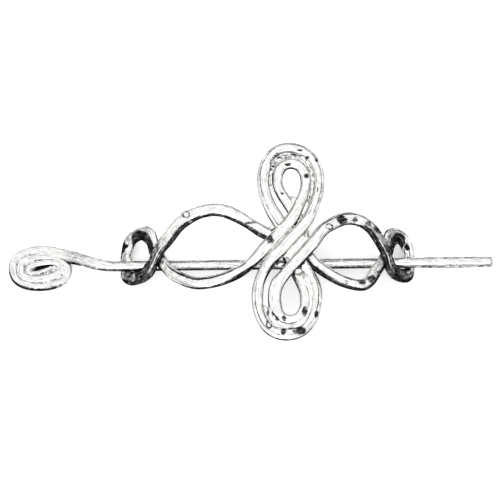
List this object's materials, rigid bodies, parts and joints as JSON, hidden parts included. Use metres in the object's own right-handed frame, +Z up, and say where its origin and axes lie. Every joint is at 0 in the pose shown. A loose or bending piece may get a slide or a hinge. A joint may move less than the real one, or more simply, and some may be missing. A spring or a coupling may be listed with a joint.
{
  "type": "fibula brooch",
  "caption": "Arched knotwork brooch of hammered silver-coloured wire with a ring at each end, closed by a straight stick pin with a flat spiral head.",
  "frame": {"origin": "under the middle of the whole brooch's box, on the surface that it lies on", "axes": "+X along the stick from its spiral head to its tip, +Y across the knot towards the top loops, +Z up through the arch, away from the cloth"},
  "size_m": [0.1256, 0.0558, 0.0159],
  "materials": {
    "knot_metal": "hammered and polished, darkened in the hollows",
    "stick_metal": "polished, with a hammered spiral head"
  },
  "bodies": {
    "knot": {"knot_body": "knot_metal"},
    "stick": {"stick_pin": "stick_metal"}
  },
  "joints": [
    {"name": "stick_slide", "type": "slide", "parent": "knot", "child": "stick", "axis": [-1, 0, 0], "range_m": [0, 0.098]}
  ]
}
